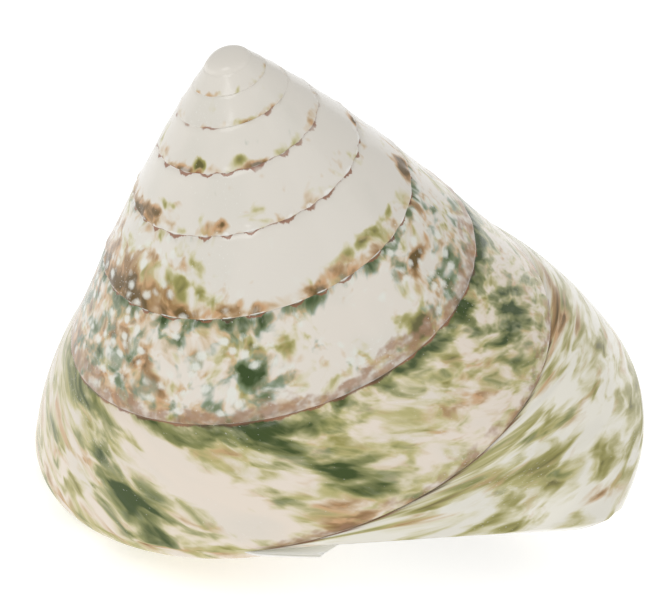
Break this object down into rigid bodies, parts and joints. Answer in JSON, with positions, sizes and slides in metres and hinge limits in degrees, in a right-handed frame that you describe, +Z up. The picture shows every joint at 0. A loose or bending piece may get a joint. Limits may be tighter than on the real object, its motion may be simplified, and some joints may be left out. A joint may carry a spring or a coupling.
{
  "type": "top shell",
  "caption": "Cone-shaped sea snail shell with flat-sided whorls, beaded sutures, a flat base and an open, hollow aperture, resting aperture down",
  "frame": {"origin": "centre of the bounding box in X and Y, at the level it rests on in Z", "axes": "+Z up; seen from -Y the shell shows the side in the picture, with its apex leaning to the left"},
  "size_m": [0.0552, 0.0518, 0.0431],
  "materials": {
    "shell": "polished ivory shell mottled with green, olive and brown, with a pearly inside"
  },
  "bodies": {
    "root": {"shell": "shell"}
  },
  "joints": []
}
